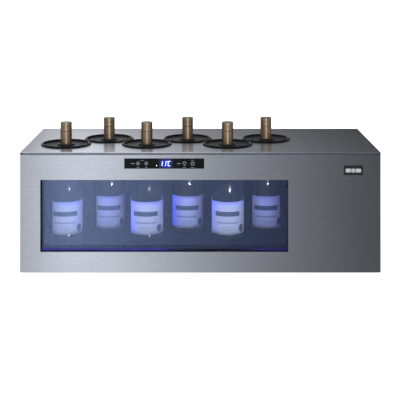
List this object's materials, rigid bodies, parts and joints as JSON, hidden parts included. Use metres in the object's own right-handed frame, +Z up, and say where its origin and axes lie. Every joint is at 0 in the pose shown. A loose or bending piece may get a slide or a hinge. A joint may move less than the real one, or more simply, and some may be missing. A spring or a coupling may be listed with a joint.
{
  "type": "countertop bottle chiller",
  "caption": "Steel countertop cabinet with a lit window; bottles stand in gasketed wells in its top beside a built-in refrigeration unit.",
  "frame": {"origin": "on the worktop under the centre of the cabinet's width and depth", "axes": "X to the viewer's right along the front, Y from the window to the rear, Z up"},
  "size_m": [0.9, 0.3756, 0.365],
  "materials": {
    "brushed_steel": "brushed along the width",
    "galvanised_steel": "satin",
    "screw_steel": "bright",
    "black_rubber": "matte",
    "seal_rubber": "satin",
    "foam": "matte",
    "liner_plastic": "fine texture",
    "black_plastic": "satin",
    "spacer_black": "matte",
    "window_glass": "clear",
    "black_gloss": "gloss",
    "circuit_board": "satin",
    "clear_plastic": "frosted",
    "aluminium_coil": "mill finish",
    "black_enamel": "gloss enamel",
    "white_plastic": "satin",
    "cable_sleeve": "satin",
    "copper": "drawn tube",
    "bottle_glass": "dark green",
    "cap_foil": "satin lacquer"
  },
  "bodies": {
    "cabinet": {"base_pan": "galvanised_steel", "rubber_feet": "black_rubber", "front_panel": "brushed_steel", "left_side_panel": "brushed_steel", "right_side_panel": "brushed_steel", "top_panel": "brushed_steel", "rear_panel": "galvanised_steel", "fasteners": "screw_steel", "bulkhead": "galvanised_steel", "foam_insulation": "foam", "inner_liner": "liner_plastic", "well_sleeves": "liner_plastic", "collar_rings": "black_plastic", "window_gasket": "black_rubber", "outer_glass": "window_glass", "inner_glass": "window_glass", "window_spacer": "spacer_black", "bottle_rack": "liner_plastic", "control_lens": "black_gloss", "control_housing": "black_plastic", "control_board": "circuit_board", "display_module": "black_plastic", "badge": "black_gloss", "led_strip": "circuit_board", "led_cover": "clear_plastic", "evaporator": "aluminium_coil", "evaporator_cover": "liner_plastic", "evaporator_fan_frame": "black_plastic", "temperature_probe": "white_plastic", "drain_hose": "white_plastic", "drip_tray": "black_plastic", "compressor": "black_enamel", "compressor_mounts": "black_rubber", "condenser": "aluminium_coil", "condenser_fan_frame": "black_plastic", "filter_drier": "copper", "refrigerant_lines": "copper", "main_board": "circuit_board", "power_inlet": "black_plastic", "wiring_harness": "cable_sleeve"},
    "bottle_body_1": {"bottle_1": "bottle_glass", "cap_1": "cap_foil"},
    "seal_body_1": {"neck_seal_1": "seal_rubber"},
    "bottle_body_2": {"bottle_2": "bottle_glass", "cap_2": "cap_foil"},
    "seal_body_2": {"neck_seal_2": "seal_rubber"},
    "bottle_body_3": {"bottle_3": "bottle_glass", "cap_3": "cap_foil"},
    "seal_body_3": {"neck_seal_3": "seal_rubber"},
    "bottle_body_4": {"bottle_4": "bottle_glass", "cap_4": "cap_foil"},
    "seal_body_4": {"neck_seal_4": "seal_rubber"},
    "bottle_body_5": {"bottle_5": "bottle_glass", "cap_5": "cap_foil"},
    "seal_body_5": {"neck_seal_5": "seal_rubber"},
    "bottle_body_6": {"bottle_6": "bottle_glass", "cap_6": "cap_foil"},
    "seal_body_6": {"neck_seal_6": "seal_rubber"},
    "evaporator_fan_body": {"evaporator_fan_rotor": "black_plastic"},
    "condenser_fan_body": {"condenser_fan_rotor": "black_plastic"}
  },
  "joints": [
    {"name": "bottle_1_lift", "type": "slide", "parent": "cabinet", "child": "bottle_body_1", "axis": [0, 0, 1], "range_m": [0, 0.26]},
    {"name": "neck_seal_1_lift", "type": "slide", "parent": "bottle_body_1", "child": "seal_body_1", "axis": [0, 0, 1], "range_m": [0, 0.075]},
    {"name": "bottle_2_lift", "type": "slide", "parent": "cabinet", "child": "bottle_body_2", "axis": [0, 0, 1], "range_m": [0, 0.26]},
    {"name": "neck_seal_2_lift", "type": "slide", "parent": "bottle_body_2", "child": "seal_body_2", "axis": [0, 0, 1], "range_m": [0, 0.075]},
    {"name": "bottle_3_lift", "type": "slide", "parent": "cabinet", "child": "bottle_body_3", "axis": [0, 0, 1], "range_m": [0, 0.26]},
    {"name": "neck_seal_3_lift", "type": "slide", "parent": "bottle_body_3", "child": "seal_body_3", "axis": [0, 0, 1], "range_m": [0, 0.075]},
    {"name": "bottle_4_lift", "type": "slide", "parent": "cabinet", "child": "bottle_body_4", "axis": [0, 0, 1], "range_m": [0, 0.26]},
    {"name": "neck_seal_4_lift", "type": "slide", "parent": "bottle_body_4", "child": "seal_body_4", "axis": [0, 0, 1], "range_m": [0, 0.075]},
    {"name": "bottle_5_lift", "type": "slide", "parent": "cabinet", "child": "bottle_body_5", "axis": [0, 0, 1], "range_m": [0, 0.26]},
    {"name": "neck_seal_5_lift", "type": "slide", "parent": "bottle_body_5", "child": "seal_body_5", "axis": [0, 0, 1], "range_m": [0, 0.075]},
    {"name": "bottle_6_lift", "type": "slide", "parent": "cabinet", "child": "bottle_body_6", "axis": [0, 0, 1], "range_m": [0, 0.26]},
    {"name": "neck_seal_6_lift", "type": "slide", "parent": "bottle_body_6", "child": "seal_body_6", "axis": [0, 0, 1], "range_m": [0, 0.075]},
    {"name": "evaporator_fan_spin", "type": "hinge", "parent": "cabinet", "child": "evaporator_fan_body", "pos_m": [0.15, 0, 0.153], "axis": [0, 1, 0], "continuous": true},
    {"name": "condenser_fan_spin", "type": "hinge", "parent": "cabinet", "child": "condenser_fan_body", "pos_m": [0.35625, 0, 0.174], "axis": [0, 1, 0], "continuous": true}
  ]
}
